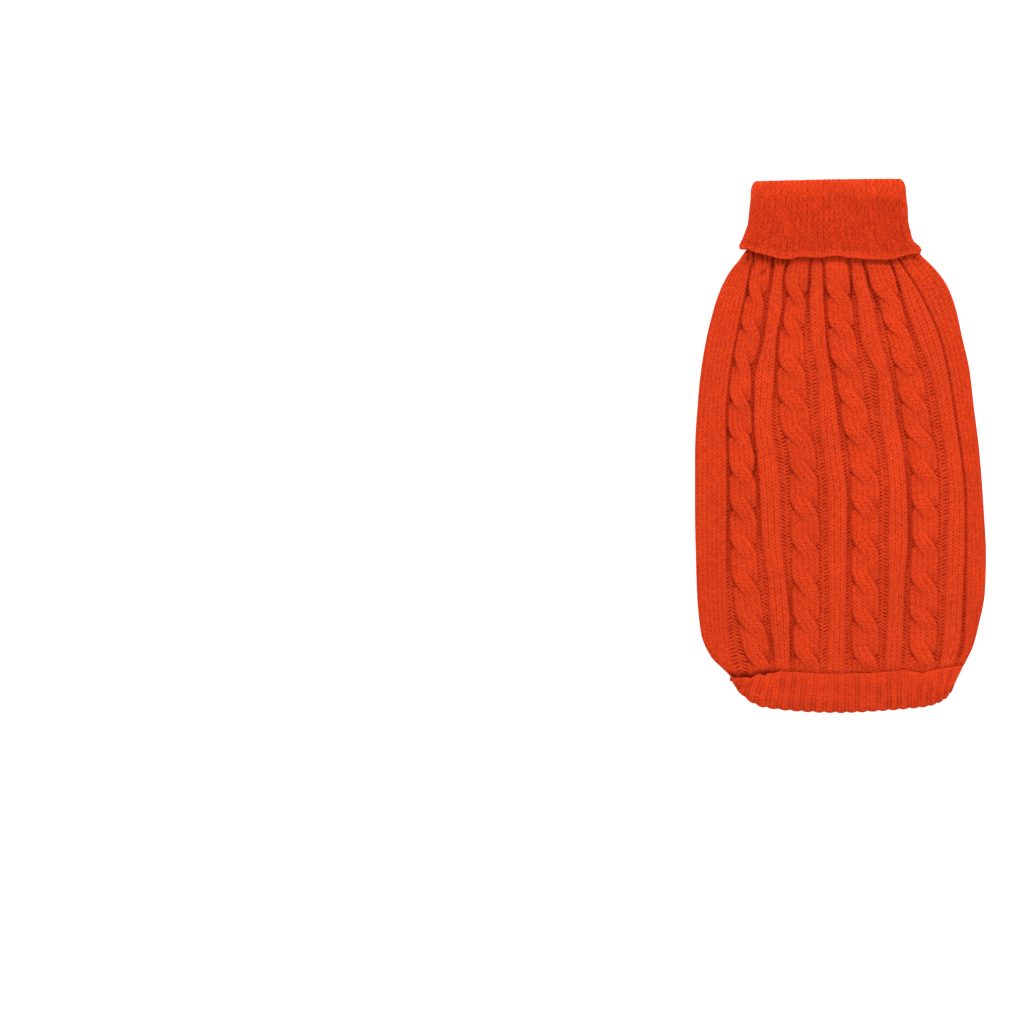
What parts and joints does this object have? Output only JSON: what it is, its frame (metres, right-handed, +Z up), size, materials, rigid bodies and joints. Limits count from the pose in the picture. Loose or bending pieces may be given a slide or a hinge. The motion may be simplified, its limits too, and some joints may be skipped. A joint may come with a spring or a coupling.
{
  "type": "dog sweater",
  "caption": "Small dog's cable-knit pullover with a turned-down rib collar, rib hem and ribbed leg openings, laid flat with its back up.",
  "frame": {"origin": "under the middle of the laid garment's outline, on the surface it rests on", "axes": "+X across the back towards the right edge of the laid garment seen from above, +Y towards the neck, +Z up out of the back"},
  "size_m": [0.1748, 0.3196, 0.0103],
  "materials": {
    "knit_cloth": "matt orange-red acrylic knit with a soft nap",
    "rib_cloth": "matt orange-red acrylic rib knit with a soft nap"
  },
  "bodies": {
    "root": {"back_panel": "knit_cloth", "belly_panel": "knit_cloth", "collar": "rib_cloth", "hem_band": "rib_cloth", "cuff_left": "rib_cloth", "cuff_right": "rib_cloth"}
  },
  "joints": []
}
